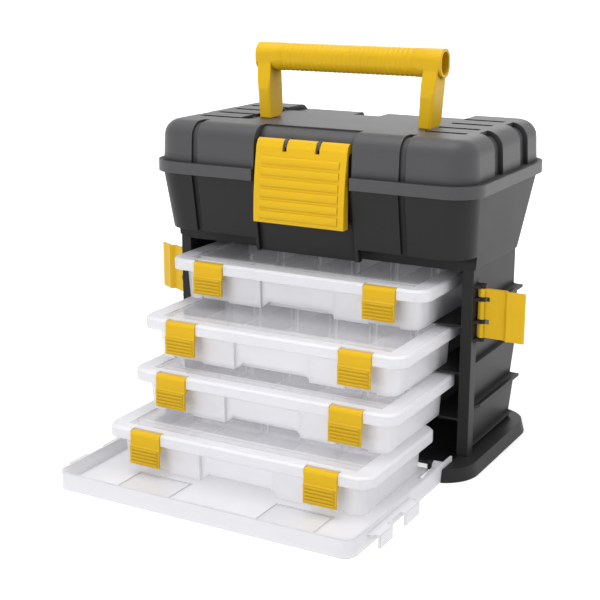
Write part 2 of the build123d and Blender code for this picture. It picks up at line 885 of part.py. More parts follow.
def handle_leg():
    """The handle's right leg, its heel rounded to clear the lid as the handle folds back."""
    leg_bottom = field_level + side_gap
    leg_inner = leg_outer - leg_width
    leg_front = handle_y - leg_ahead
    leg_back = handle_y + leg_behind
    blend_bottom = grip_centre_z - grip_height / 2 - leg_shoulder
    with BuildPart() as leg:
        with BuildSketch(Plane.XZ.offset(-leg_back)):
            with BuildLine():
                Polyline(
                    (leg_inner, leg_bottom),
                    (leg_outer, leg_bottom),
                    (leg_outer + leg_spread, grip_centre_z),
                    (leg_outer + leg_spread - leg_top_width, grip_centre_z),
                    close=True,
                )
            make_face()
        extrude(amount=leg_back - leg_front)
        front_corners = leg.edges().filter_by(Axis.X, reverse=True).filter_by(Axis.Y, reverse=True)
        chamfer(front_corners.group_by(Axis.Y)[0], length=leg_edge)
        with BuildSketch(across(leg_inner - lug_width)):
            with BuildLine():
                Polyline(
                    (leg_front, leg_bottom),
                    (leg_front, blend_bottom),
                    (handle_y - grip_depth / 2, grip_centre_z - grip_height / 4),
                    (handle_y - grip_depth / 2, grip_centre_z),
                    (handle_y + grip_depth / 2, grip_centre_z),
                    (leg_back, blend_bottom),
                    (leg_back, leg_bottom + leg_heel),
                )
                ThreePointArc(
                    (leg_back, leg_bottom + leg_heel),
                    (
                        leg_back - leg_heel * (1 - cos(radians(45))),
                        leg_bottom + leg_heel * (1 - sin(radians(45))),
                    ),
                    (leg_back - leg_heel, leg_bottom),
                )
                Line((leg_back - leg_heel, leg_bottom), (leg_front, leg_bottom))
            make_face()
        extrude(amount=leg_outer, mode=Mode.INTERSECT)
        fork_low = (leg_inner + leg_outer) / 2 - lug_width / 2 - side_gap
        fork_high = fork_low + lug_width + 2 * side_gap
        fork_end = (fork_high, leg_back + overrun, leg_bottom + fork_height)
        fork_start = (fork_low, leg_front + fork_front, leg_bottom)
        add(box_between(fork_start, fork_end), mode=Mode.SUBTRACT)
        bar_low = fork_low - overrun
        bar_high = fork_high + overrun
        add(pin_between(bar_low, bar_high, handle_y, handle_axis_z, handle_pin))
    return leg.part


# Carrying handle: two forked legs and an oval grip with hollow ends
with BuildPart() as handle:
    add(handle_leg())
    add(mirrored(handle_leg()))
    with BuildSketch(across(-grip_half)):
        with Locations((handle_y, grip_centre_z)):
            RectangleRounded(grip_depth, grip_height, grip_round)
    extrude(amount=2 * grip_half)
    for start in (-grip_half, grip_half - grip_hollow):
        with BuildSketch(across(start)):
            with Locations((handle_y, grip_centre_z)):
                hollow_depth = grip_depth - 2 * grip_skin
                hollow_height = grip_height - 2 * grip_skin
                RectangleRounded(hollow_depth, hollow_height, grip_round - grip_skin)
        extrude(amount=grip_hollow, mode=Mode.SUBTRACT)
save(handle.part, "handle")

# Side latch, swung out from its bracket, with gaps round the bracket's arms
with BuildPart() as side_latch_right:
    with BuildSketch(Plane.XY.offset(side_latch_bottom)):
        with BuildLine():
            bend_y = side_axis_y - side_bend
            centre_line = Polyline(
                (side_axis_x, side_axis_y),
                (side_axis_x + side_bend_start, side_axis_y),
                (side_axis_x + (side_bend_start + side_bend_end) / 2, bend_y - seat_gap * 2),
                (side_axis_x + side_bend_end, bend_y),
                (side_latch_tip, bend_y),
            )
            offset(centre_line, amount=side_latch_skin / 2, kind=Kind.INTERSECTION)
        make_face()
        with Locations((side_axis_x, side_axis_y)):
            RegularPolygon(side_hub, eye_sides, major_radius=False)
            eye = side_pin + pin_gap
            RegularPolygon(eye, eye_sides, major_radius=False, mode=Mode.SUBTRACT)
    extrude(amount=side_latch_top - side_latch_bottom)
    notch_half = side_arm / 2 + bracket_gap
    for level in side_arm_levels:
        with BuildSketch(Plane.XY.offset(level - notch_half)):
            with Locations((side_axis_x, side_axis_y)):
                Rectangle(2 * side_notch, 2 * side_notch)
        extrude(amount=2 * notch_half, mode=Mode.SUBTRACT)
save(side_latch_right.part, "side_latch_right")
left_axis = Axis((-side_axis_x, side_axis_y, 0), (0, 0, 1))
side_latch_left = mirrored(side_latch_right.part).rotate(left_axis, -left_latch_swing)
save(side_latch_left, "side_latch_left")


def door_plan(inset, back):
    """The door's outline with its rounded front corners, drawn in at the sides and front."""
    half = door_half - inset
    with BuildSketch() as plan:
        with BuildLine():
            Polyline(
                (-half, back),
                (-half, door_front + inset),
                (half, door_front + inset),
                (half, back),
                close=True,
            )
        make_face()
        fillet(plan.vertices().group_by(Axis.Y)[0], radius=door_corner - inset)
    return plan.sketch


def door_side():
    """The door's right hinge knuckle, rim tail, outer flange and two catches."""
    knuckle_low = door_ear_x + door_ear_width / 2 + side_gap
    tail_low = door_half - door_rim_skin
    flange_low = door_tab_height - door_skin
    tab_out = door_half + door_flange + door_tab
    web_points = [
        (door_slope_start - door_skin, 0),
        (door_slope_start, 0),
        (door_hinge_y, door_hinge_z - door_hub),
        (door_hinge_y - door_hub, door_hinge_z),
        (door_slope_start - door_skin, door_skin),
    ]
    tail_points = [
        (door_slope_start, 0),
        (door_slope_start, door_rim),
        (door_tail, door_rim),
        (door_tail, door_hinge_z),
    ]
    with BuildPart() as piece:
        with BuildSketch(across(knuckle_low)):
            add(web_outline(web_points, door_hinge_y, door_hinge_z, door_hub))
            with Locations((door_hinge_y, door_hinge_z)):
                eye = door_pin + pin_gap
                RegularPolygon(eye, eye_sides, major_radius=False, mode=Mode.SUBTRACT)
        extrude(amount=door_half - knuckle_low)
        with BuildSketch(across(tail_low)):
            with BuildLine():
                Polyline(*tail_points, close=True)
            make_face()
        extrude(amount=door_rim_skin)
        flange_end = (door_half + door_flange, door_flange_back, door_tab_height)
        add(box_between((tail_low, door_flange_front, flange_low), flange_end))
        for front, back in door_tabs:
            add(box_between((tail_low, front, flange_low), (tab_out, back, door_tab_height)))
            add(box_between((tab_out - door_skin, front, 0), (tab_out, back, door_tab_height)))
    return piece.part


# Front door: a shallow tray with knuckles, catches at the sides and two framed fields
with BuildPart() as front_door:
    with BuildSketch():
        add(door_plan(0, door_slope_start))
    extrude(amount=door_rim)
    with BuildSketch(Plane.XY.offset(door_skin)):
        add(door_plan(door_rim_skin, door_hinge_y))
    extrude(amount=door_rim, mode=Mode.SUBTRACT)
    middle_half = door_ear_x - door_ear_width / 2 - side_gap
    middle_low = (-middle_half, door_slope_start - overrun, 0)
    add(box_between(middle_low, (middle_half, door_back, door_skin)))
    add(door_side())
    add(mirrored(door_side()))
    with BuildSketch(Plane.XY.offset(door_skin - door_frame_depth)):
        with Locations(
            (-door_frame_x, (door_frame_front + door_frame_back) / 2),
            (door_frame_x, (door_frame_front + door_frame_back) / 2),
        ):
            frame_depth = door_frame_back - door_frame_front
            Rectangle(door_frame_size, frame_depth)
            Rectangle(
                door_frame_size - 2 * door_frame_width,
                frame_depth - 2 * door_frame_width,
                mode=Mode.SUBTRACT,
            )
    extrude(amount=door_frame_depth, mode=Mode.SUBTRACT)
save(front_door.part, "front_door")


def case_shell(inset, floor):
    """The case body's drafted form from a level up, drawn in all round."""
    with BuildPart() as shell:
        for level, draft in ((floor, body_taper), (body_top, 0)):
            half = case_body_half - inset - draft
            front = body_front + inset + draft
            back = body_back - inset - draft
            with BuildSketch(Plane.XY.offset(level)):
                with Locations((0, (front + back) / 2)):
                    if inset:
                        add(cut_corners(2 * half, back - front, body_corner - inset))
                    else:
                        RectangleRounded(2 * half, back - front, body_corner)
        loft()
    return shell.part


def case_recesses(grow):
    """What the finger pull and the notches under the latches take from the body's front."""
    slope_points = [
        (-pull_half - grow, 0),
        (-pull_half + pull_slope - grow, pull_rise + grow),
        (pull_half - pull_slope + grow, pull_rise + grow),
        (pull_half + grow, 0),
    ]
    notch_inner = latch_outer - latch_width - grow
    notch_back = body_front + body_taper + notch_reach + grow
    with BuildPart() as recesses:
        pull_end = (pull_half + grow, body_front + pull_depth + grow, flange_low)
        add(box_between((-pull_half - grow, 0, 0), pull_end))
        with BuildSketch(Plane.XZ):
            with BuildLine():
                Polyline(*slope_points, close=True)
            make_face()
        extrude(amount=-(body_front + pull_reach + grow))
        notch_end = (latch_outer + grow, notch_back, notch_rise + grow)
        add(box_between((notch_inner, 0, 0), notch_end))
        notch_end = (-notch_inner, notch_back, notch_rise + grow)
        add(box_between((-latch_outer - grow, 0, 0), notch_end))
    return recesses.part


def case_cavity():
    """The hollow of the case body, which keeps one skin behind its recesses."""
    with BuildPart() as cavity:
        add(case_shell(case_skin, case_skin))
        add(case_recesses(case_skin), mode=Mode.SUBTRACT)
    return cavity.part


def inner_wall():
    """The case's long inner wall, reaching halfway into the outer walls."""
    with BuildPart() as piece:
        low = (-case_body_half, long_wall - divider_skin / 2, case_skin / 2)
        high = (case_body_half, long_wall + divider_skin / 2, divider_top)
        add(box_between(low, high))
        add(case_shell(case_skin / 2, 0), mode=Mode.INTERSECT)
    return piece.part


def skirt_outline(inset):
    """The case lid's outline, drawn in all round."""
    with BuildSketch() as outline:
        with Locations((0, (latch_proud + case_depth) / 2)):
            depth = case_depth - latch_proud - 2 * inset
            if inset:
                add(cut_corners(2 * (case_lid_half - inset), depth, lid_corner - inset))
            else:
                RectangleRounded(2 * case_lid_half, depth, lid_corner)
    return outline.sketch


# Case body: drafted shell with a flange, finger pull, notches, inner wall and hinge pin on ears
with BuildPart() as case_body:
    add(case_shell(0, 0))
    with BuildSketch(Plane.XY.offset(flange_low)):
        add(skirt_outline(skirt_skin + flange_gap))
    extrude(amount=flange_skin)
    add(case_recesses(0), mode=Mode.SUBTRACT)
    add(case_cavity(), mode=Mode.SUBTRACT)
    add(inner_wall())
    ear_reach = lid_hinge_width / 2 + lid_hinge_gap
    for ear_low in (-ear_reach - lid_hinge_ear, ear_reach):
        low = (ear_low, case_hinge_y - lid_hinge_hub, case_hinge_z - lid_hinge_hub)
        high = (ear_low + lid_hinge_ear, flange_back, flange_low + flange_skin / 2)
        add(box_between(low, high))
    pin_reach = ear_reach + lid_hinge_ear / 2
    add(pin_between(-pin_reach, pin_reach, case_hinge_y, case_hinge_z, lid_hinge_pin))

# Case lid: a shallow skirted tray with a window, latch pockets and a hinge knuckle
pocket_inner = latch_outer - latch_width - pocket_gap
pocket_outer = latch_outer + pocket_gap
pocket_back = latch_proud + pocket_depth
bar_y = latch_axis_in
bar_z = case_height - latch_axis_drop
with BuildPart() as case_lid:
    with BuildSketch(Plane.XY.offset(case_height - skirt_height)):
        add(skirt_outline(0))
    extrude(amount=skirt_height)
    chamfer(case_lid.edges().group_by(Axis.Z)[-1], length=lid_edge)
    with BuildSketch(Plane.XY.offset(case_height - skirt_height)):
        add(skirt_outline(skirt_skin))
    extrude(amount=skirt_height - case_skin, mode=Mode.SUBTRACT)
    with BuildSketch(Plane.XY.offset(case_height - window_depth)):
        window_back = case_depth - window_margin
        with Locations((0, (window_front + window_back) / 2)):
            window_half = case_lid_half - window_margin
            add(cut_corners(2 * window_half, window_back - window_front, window_corner))
    extrude(amount=window_depth, mode=Mode.SUBTRACT)
    for side in (-1, 1):
        block_centre = side * (pocket_inner + pocket_outer) / 2
        block_half = (pocket_outer - pocket_inner) / 2 + skirt_skin
        low = (block_centre - block_half, latch_proud + skirt_skin, pocket_low)
        high = (block_centre + block_half, pocket_back + skirt_skin, case_height - case_skin / 2)
        add(box_between(low, high))
        half = (pocket_outer - pocket_inner) / 2
        low = (block_centre - half, latch_proud - overrun, case_height - skirt_height)
        high = (block_centre + half, pocket_back, case_height)
        add(box_between(low, high), mode=Mode.SUBTRACT)
        bar_low = block_centre - block_half + skirt_skin / 2
        bar_high = block_centre + block_half - skirt_skin / 2
        add(pin_between(bar_low, bar_high, bar_y, bar_z, latch_bar))
    knuckle_points = [
        (case_hinge_y - lid_hinge_hub, case_hinge_z - lid_hinge_hub / 2),
        (case_hinge_y - lid_hinge_hub / 2, case_hinge_z - lid_hinge_hub),
        (case_depth, case_hinge_z - lid_hinge_hub),
        (case_depth, case_height - skirt_height + overrun),
        (case_depth - skirt_skin, case_height - skirt_height + overrun),
        (case_depth - skirt_skin, case_hinge_z + lid_hinge_hub),
        (case_hinge_y - lid_hinge_hub / 2, case_hinge_z + lid_hinge_hub),
        (case_hinge_y - lid_hinge_hub, case_hinge_z + lid_hinge_hub / 2),
    ]
    knuckle_low = -lid_hinge_width / 2
    eye = lid_hinge_pin + pin_gap
    add(bored_web(knuckle_low, lid_hinge_width, knuckle_points, case_hinge_y, case_hinge_z, eye))

# Loose dividers: one plate between columns in the back row and two in the front row
with BuildPart() as case_dividers:
    back_low = long_wall + divider_skin / 2 + side_gap
    back_high = body_back - case_skin - body_taper - side_gap
    for column in range(1, column_count):
        x = (column - column_count / 2) * column_pitch
        low = (x - divider_skin / 2, back_low, case_skin)
        add(box_between(low, (x + divider_skin / 2, back_high, divider_top)))
    front_low = body_front + case_skin + body_taper + side_gap
    front_high = long_wall - divider_skin / 2 - side_gap
    for x in (-front_column, front_column):
        low = (x - divider_skin / 2, front_low, case_skin)
        add(box_between(low, (x + divider_skin / 2, front_high, divider_top)))

# Case latch: a ribbed plate on the lid's bar, with a hook that catches under the flange
latch_low = case_height - latch_height
latch_back = small_rib_proud + latch_skin_small
with BuildPart() as case_latch:
    with BuildSketch(across(latch_outer - latch_width)):
        with BuildLine():
            Polyline(
                (bar_y + latch_hub_small / 2, bar_z + latch_hub_small),
                (latch_proud + overrun, bar_z + latch_hub_small),
                (latch_proud, bar_z + latch_skin_small),
                (latch_proud - overrun, bar_z),
                (small_rib_proud + overrun, latch_step + overrun),
                (small_rib_proud, latch_step),
                (small_rib_proud, latch_low),
                (latch_back, latch_low),
                (latch_back, latch_step - overrun),
                (hook_reach, hook_level),
                (hook_reach, hook_level + overrun),
                (latch_back + overrun, hook_level + overrun),
                (latch_back + overrun, bar_z - latch_hub_small),
                (bar_y + latch_hub_small / 2, bar_z - latch_hub_small),
                (bar_y + latch_hub_small, bar_z - latch_hub_small / 2),
                (bar_y + latch_hub_small, bar_z + latch_hub_small / 2),
                close=True,
            )
        make_face()
        with Locations((bar_y, bar_z)):
            eye = latch_bar + pin_gap
            RegularPolygon(eye, eye_sides, major_radius=False, mode=Mode.SUBTRACT)
    extrude(amount=latch_width)
    for rib in range(small_rib_count):
        z = latch_low + small_rib_pitch * (rib + 1 / 2)
        rib_inset = small_rib_pitch / 2
        low = (latch_outer - latch_width + rib_inset, 0, z)
        high = (latch_outer - rib_inset, latch_back, z + small_rib_pitch / 2)
        add(box_between(low, high))

# The four cases, from the top down
case_pieces = {
    "body": case_body.part,
    "lid": case_lid.part,
    "dividers": case_dividers.part,
    "latch_right": case_latch.part,
    "latch_left": mirrored(case_latch.part),
}
for number, (pull, shift) in enumerate(zip(case_pulls, case_shifts), start=1):
    level = case_bottom + (len(case_pulls) - number) * case_pitch
    place = Location((shift, case_front_closed - pull, level))
    for name, piece in case_pieces.items():
        save(piece.moved(place), f"case_{number}_{name}")
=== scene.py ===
"""Looks of the tool box: moulded plastics, frosted cases, light, floor and camera."""

import json
import math

import bmesh
import bpy
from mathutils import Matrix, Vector


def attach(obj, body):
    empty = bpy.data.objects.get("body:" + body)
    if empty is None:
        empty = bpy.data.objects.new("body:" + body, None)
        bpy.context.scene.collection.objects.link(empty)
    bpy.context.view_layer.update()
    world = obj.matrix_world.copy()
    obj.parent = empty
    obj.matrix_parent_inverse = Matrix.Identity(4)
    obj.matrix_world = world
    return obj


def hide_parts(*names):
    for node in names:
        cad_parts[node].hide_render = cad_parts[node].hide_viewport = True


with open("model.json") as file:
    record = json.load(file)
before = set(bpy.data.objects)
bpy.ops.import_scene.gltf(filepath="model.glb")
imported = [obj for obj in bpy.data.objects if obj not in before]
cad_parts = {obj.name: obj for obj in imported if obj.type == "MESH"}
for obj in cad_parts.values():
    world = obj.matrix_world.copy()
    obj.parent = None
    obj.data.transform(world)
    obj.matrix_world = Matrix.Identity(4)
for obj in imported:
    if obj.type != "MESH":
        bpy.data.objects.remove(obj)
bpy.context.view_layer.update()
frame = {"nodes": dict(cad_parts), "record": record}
MM = 0.001

# Colours, as linear values; the PALE colours go on the edges, partly as wear and partly as
# painted highlight
CHARCOAL = (0.0185, 0.0185, 0.019, 1.0)
PALE_CHARCOAL = (0.07, 0.07, 0.072, 1.0)
MID_GREY = (0.064, 0.064, 0.067, 1.0)
PALE_GREY = (0.20, 0.20, 0.205, 1.0)
YELLOW = (0.73, 0.445, 0.010, 1.0)
PALE_YELLOW = (0.92, 0.68, 0.13, 1.0)
MILK = (0.925, 0.925, 0.97, 1.0)
LID_MILK = (0.82, 0.82, 0.865, 1.0)
DOOR_MILK = (0.79, 0.79, 0.83, 1.0)
# DOOR_EDGE and MILK_EDGE: the milky edges, greyer on the door as painted shade and paler on the
# lids as painted highlight; MILK_EDGE is also the guide ribs' own white
DOOR_EDGE = (0.42, 0.43, 0.46, 1.0)
MILK_EDGE = (0.93, 0.93, 0.96, 1.0)
STEEL = (0.55, 0.55, 0.56, 1.0)
PALE_STEEL = (0.8, 0.8, 0.8, 1.0)

# All plastics: depth of the bump, cosines at which an edge starts and is full, share of open sky
# at which a recess starts and is full, and how much the roughness wanders
BUMP_DEPTH = 0.4 * MM
EDGE_START, EDGE_FULL = 0.99, 0.85
RECESS_START, RECESS_FULL = 0.92, 0.6
ROUGHNESS_SPREAD = 0.05

# Opaque plastics: rounding of the edges, reach of the recesses' painted shade and their extra
# roughness, and how much the tone wanders
EDGE_ROUNDING, RECESS_REACH, RECESS_DULLING, MOTTLING = 0.9 * MM, 7.0 * MM, 0.4, 0.07

# Milky plastics: rounding of the edges, reach and tone of the painted shade in the recesses; how
# much the tone and the density wander, and over what part of the mottling; the extra density at
# the edges, and the share of the density that shadows and indirect light meet
MILKY_EDGE_ROUNDING, MILKY_RECESS_REACH, MILKY_RECESS_SHADE_TONE = 0.8 * MM, 5.0 * MM, 0.85
MILKY_MOTTLING, DENSITY_SPREAD, DENSITY_LOW, DENSITY_HIGH = 0.02, 0.03, 0.3, 0.7
EDGE_DENSITY, PASSING_DENSITY = 0.5, 0.2

# Handle grip, in metres: the middle of its section and what the rings take from it
GRIP_Y, GRIP_Z = 7.5 * MM, 293.75 * MM
GRIP_HALF_DEPTH, GRIP_HALF_HEIGHT, GRIP_ROUND = 8.8 * MM, 10.75 * MM, 8.4 * MM
GRIP_FLAT_Y, GRIP_FLAT_Z = GRIP_HALF_DEPTH - GRIP_ROUND, GRIP_HALF_HEIGHT - GRIP_ROUND
GRIP_END, GRIP_LEVEL = 56.0 * MM, 280.0 * MM
RING_COUNT, RING_PITCH, RING_RADIUS, RING_SINK = 27, 4.1 * MM, 3.2 * MM, 0.35 * MM

# Meshes: steps of a ring's corner and sides of a bar, and how near points are joined or cut
RING_STEPS, BAR_SIDES = 8, 14
MERGE_DISTANCE, CUT_DISTANCE = 1e-6, 1e-7

# Organiser cases, in millimetres: the corner that each is drawn from and the window in its lid,
# then the share of its density that the window keeps and the roughness that it loses
CASE_PLACES = {
    1: (-2.3, -83.5, 110.9),
    2: (0.9, -127.4, 74.8),
    3: (2.7, -144.0, 38.7),
    4: (-1.3, -172.5, 2.6),
}
WINDOW_HALF, WINDOW_FRONT, WINDOW_BACK, WINDOW_LEVEL = 95.2, 13.0, 103.6, 30.4
WINDOW_DENSITY, WINDOW_SMOOTHING = 0.35, 0.22

# Guide ribs: their row in metres, and the foot and head of each in millimetres (depth, height)
GUIDE_COUNT, GUIDE_PITCH, GUIDE_HALF_GAP, GUIDE_RADIUS = 5, 35.0 * MM, 2.9 * MM, 1.2 * MM
GUIDE_FOOT, GUIDE_HEAD = (109.6, 2.6), (110.6, 28.0)

# Front latch, in millimetres but for the ribs' radius: its plate's top (depth, height), the depth
# and height of its foot, its bulge, and the soft ribs on it
LATCH_BROW, LATCH_FOOT, LATCH_BOTTOM, LATCH_BULGE = (-70.0, 229.9), -74.6, 178.5, 1.3
LATCH_RIB_COUNT, LATCH_RIB_PITCH, LATCH_RIB_START = 6, 8.0, 6.0
LATCH_RIB_HALF, LATCH_RIB_TAPER, LATCH_RIB_END = 31.0, 1.6, 0.3
LATCH_RIB_RADIUS, LATCH_RIB_FLATNESS = 3.3 * MM, 0.33

# Front door, in millimetres: its two framed panels, and how much greyer they are
PANEL_MIDDLE, PANEL_HALF, PANEL_FRONT, PANEL_BACK = 58.0, 23.0, -200.0, -167.0
PANEL_TONE = 0.88

# Floor and surroundings: half the floor's width, how far it lies below the feet, where its glow
# grows from near to far, and the strength of the surroundings as light and as seen
FLOOR_REACH, FLOOR_DROP = 8.0, 0.5 * MM
GLOW_NEAR, GLOW_FAR, GLOW_LOW, GLOW_HIGH = 0.3, 1.1, 0.45, 1.0
SKY_LIGHT, SKY_SEEN = 0.36, 1.0

# A colour mix node's sockets by their places, as its other sockets share their names
MIX_SHARE, MIX_FIRST, MIX_SECOND, MIX_RESULT = 0, 6, 7, 2


def new_group(name, inputs, outputs):
    """An empty shader node group with named number inputs and named outputs."""
    group = bpy.data.node_groups.new(name, "ShaderNodeTree")
    for label, default in inputs:
        socket = group.interface.new_socket(label, in_out="INPUT", socket_type="NodeSocketFloat")
        socket.default_value = default
    for label, kind in outputs:
        group.interface.new_socket(label, in_out="OUTPUT", socket_type=kind)
    return group, group.nodes.new("NodeGroupInput"), group.nodes.new("NodeGroupOutput")


def sum_node(tree, operation, *operands):
    """A Math node whose operands are sockets or plain numbers; gives its result socket."""
    node = tree.nodes.new("ShaderNodeMath")
    node.operation = operation
    for place, operand in enumerate(operands):
        if isinstance(operand, (int, float)):
            node.inputs[place].default_value = operand
        else:
            tree.links.new(operand, node.inputs[place])
    return node.outputs[0]


def spread(tree, value, low, high, to_low, to_high):
    """A value mapped from one span to another and kept inside it."""
    node = tree.nodes.new("ShaderNodeMapRange")
    for label, number in (
        ("From Min", low),
        ("From Max", high),
        ("To Min", to_low),
        ("To Max", to_high),
    ):
        node.inputs[label].default_value = number
    tree.links.new(value, node.inputs["Value"])
    return node.outputs["Result"]


def moulded_grain():
    """Fine spark-eroded grain and slow waviness of an injection moulding."""
    group, given, result = new_group(
        "moulded_grain",
        [("Grain Size", 0.0006), ("Grain Height", 0.4), ("Waviness", 0.3)],
        [("Height", "NodeSocketFloat"), ("Mottle", "NodeSocketFloat")],
    )
    place = group.nodes.new("ShaderNodeTexCoord")
    grain = group.nodes.new("ShaderNodeTexNoise")
    grain.inputs["Detail"].default_value = 3.0
    group.links.new(place.outputs["Object"], grain.inputs["Vector"])
    scale = sum_node(group, "DIVIDE", 1.0, given.outputs["Grain Size"])
    group.links.new(scale, grain.inputs["Scale"])
    waves = group.nodes.new("ShaderNodeTexNoise")
    waves.inputs["Scale"].default_value = 22.0
    waves.inputs["Detail"].default_value = 2.0
    group.links.new(place.outputs["Object"], waves.inputs["Vector"])
    grain_share = sum_node(group, "MULTIPLY", grain.outputs["Fac"], given.outputs["Grain Height"])
    total = sum_node(
        group, "MULTIPLY_ADD", waves.outputs["Fac"], given.outputs["Waviness"], grain_share
    )
    group.links.new(total, result.inputs["Height"])
    group.links.new(waves.outputs["Fac"], result.inputs["Mottle"])
    return group


def soft_edges():
    """Rounded edges as a normal, and a patchy mask of the edges, which the materials paint paler
    or greyer: partly wear, partly painted highlight and painted shade.
    """
    group, given, result = new_group(
        "soft_edges",
        [("Radius", 0.0008), ("Amount", 0.3), ("Patch Scale", 60.0)],
        [("Normal", "NodeSocketVector"), ("Wear And Highlight", "NodeSocketFloat")],
    )
    rounded = group.nodes.new("ShaderNodeBevel")
    rounded.samples = 4
    group.links.new(given.outputs["Radius"], rounded.inputs["Radius"])
    geometry = group.nodes.new("ShaderNodeNewGeometry")
    same = group.nodes.new("ShaderNodeVectorMath")
    same.operation = "DOT_PRODUCT"
    group.links.new(rounded.outputs["Normal"], same.inputs[0])
    group.links.new(geometry.outputs["Normal"], same.inputs[1])
    turned = spread(group, same.outputs["Value"], EDGE_START, EDGE_FULL, 0.0, 1.0)
    place = group.nodes.new("ShaderNodeTexCoord")
    patches = group.nodes.new("ShaderNodeTexNoise")
    patches.inputs["Detail"].default_value = 4.0
    group.links.new(place.outputs["Object"], patches.inputs["Vector"])
    group.links.new(given.outputs["Patch Scale"], patches.inputs["Scale"])
    rubbed_and_highlit = sum_node(group, "MULTIPLY", turned, patches.outputs["Fac"])
    group.links.new(
        sum_node(group, "MULTIPLY", rubbed_and_highlit, given.outputs["Amount"]), result.inputs["Wear And Highlight"]
    )
    group.links.new(rounded.outputs["Normal"], result.inputs["Normal"])
    return group


def shaded_recess():
    """A mask of narrow grooves, slots and inner corners, where the materials paint shade and
    raise the roughness as with dust.
    """
    group, given, result = new_group(
        "shaded_recess", [("Reach", 0.006)], [("Mask", "NodeSocketFloat")]
    )
    hollow = group.nodes.new("ShaderNodeAmbientOcclusion")
    hollow.samples = 6
    hollow.only_local = True
    group.links.new(given.outputs["Reach"], hollow.inputs["Distance"])
    mask = spread(group, hollow.outputs["AO"], RECESS_START, RECESS_FULL, 0.0, 1.0)
    group.links.new(mask, result.inputs["Mask"])
    return group


def framed_field():
    """A mask that is 1 inside a box-shaped field of the object's own space."""
    group, given, result = new_group(
        "framed_field",
        [("Middle X", 0.0), ("Half X", 0.1), ("Low Y", 0.0), ("High Y", 0.1), ("Low Z", 0.0)],
        [("Mask", "NodeSocketFloat")],
    )
    place = group.nodes.new("ShaderNodeTexCoord")
    parts = group.nodes.new("ShaderNodeSeparateXYZ")
    group.links.new(place.outputs["Object"], parts.inputs[0])
    off = sum_node(group, "SUBTRACT", parts.outputs["X"], given.outputs["Middle X"])
    off = sum_node(group, "ABSOLUTE", off)
    inside = sum_node(group, "LESS_THAN", off, given.outputs["Half X"])
    for operation, axis, limit in (
        ("GREATER_THAN", "Y", "Low Y"),
        ("LESS_THAN", "Y", "High Y"),
        ("GREATER_THAN", "Z", "Low Z"),
    ):
        held = sum_node(group, operation, parts.outputs[axis], given.outputs[limit])
        inside = sum_node(group, "MULTIPLY", inside, held)
    group.links.new(inside, result.inputs["Mask"])
    return group


GRAIN = moulded_grain()
EDGES = soft_edges()
RECESS_SHADE = shaded_recess()
FIELD = framed_field()


def placed(tree, group, **values):
    """A node group set in a material, with its values by name (spaces as underscores)."""
    node = tree.nodes.new("ShaderNodeGroup")
    node.node_tree = group
    for label, value in values.items():
        node.inputs[label.replace("_", " ")].default_value = value
    return node


def blended(tree, share, first, second):
    """A colour between two colours, each a socket or a plain colour."""
    node = tree.nodes.new("ShaderNodeMix")
    node.data_type = "RGBA"
    tree.links.new(share, node.inputs[MIX_SHARE])
    for socket, colour in ((MIX_FIRST, first), (MIX_SECOND, second)):
        if isinstance(colour, tuple):
            node.inputs[socket].default_value = colour
        else:
            tree.links.new(colour, node.inputs[socket])
    return node.outputs[MIX_RESULT]


def toned(colour, factor):
    """The same colour a little darker or lighter."""
    return tuple(min(1.0, part * factor) for part in colour[:3]) + (1.0,)


def plastic_surface(name, grain_size, grain_height, bump, edge_radius, edge_wear_and_highlight):
    """A new material with its grain, rounded edges and bump in place."""
    material = bpy.data.materials.new(name)
    material.use_nodes = True
    tree = material.node_tree
    shader = tree.nodes["Principled BSDF"]
    grain = placed(tree, GRAIN, Grain_Size=grain_size, Grain_Height=grain_height)
    edges = placed(tree, EDGES, Radius=edge_radius, Amount=edge_wear_and_highlight)
    bumped = tree.nodes.new("ShaderNodeBump")
    bumped.inputs["Strength"].default_value = bump
    bumped.inputs["Distance"].default_value = BUMP_DEPTH
    tree.links.new(grain.outputs["Height"], bumped.inputs["Height"])
    tree.links.new(edges.outputs["Normal"], bumped.inputs["Normal"])
    tree.links.new(bumped.outputs["Normal"], shader.inputs["Normal"])
    return material, tree, shader, grain, edges


def moulded_plastic(
    name, colour, pale, rough, sheen, grain_size, grain_height, bump, wear_and_highlight, recess_shade_tone
):
    """An opaque moulded plastic with grain, slight mottling, edges painted paler (partly wear,
    partly painted highlight) and recesses darkened by painted shade.
    """
    material, tree, shader, grain, edges = plastic_surface(
        name, grain_size, grain_height, bump, EDGE_ROUNDING, wear_and_highlight
    )
    shader.inputs["Specular IOR Level"].default_value = sheen
    mottle = grain.outputs["Mottle"]
    mottled = blended(tree, mottle, toned(colour, 1 - MOTTLING), toned(colour, 1 + MOTTLING))
    # Edges painted paler: partly wear, partly painted highlight
    worn_and_highlit = blended(tree, edges.outputs["Wear And Highlight"], mottled, pale)
    # Recesses darkened as painted shade, and made rougher
    recess = placed(tree, RECESS_SHADE, Reach=RECESS_REACH).outputs["Mask"]
    shaded = blended(tree, recess, worn_and_highlit, toned(colour, recess_shade_tone))
    tree.links.new(shaded, shader.inputs["Base Color"])
    roughness = spread(tree, mottle, 0.0, 1.0, rough - ROUGHNESS_SPREAD, rough + ROUGHNESS_SPREAD)
    duller = sum_node(tree, "MULTIPLY_ADD", recess, RECESS_DULLING, roughness)
    tree.links.new(duller, shader.inputs["Roughness"])
    return material


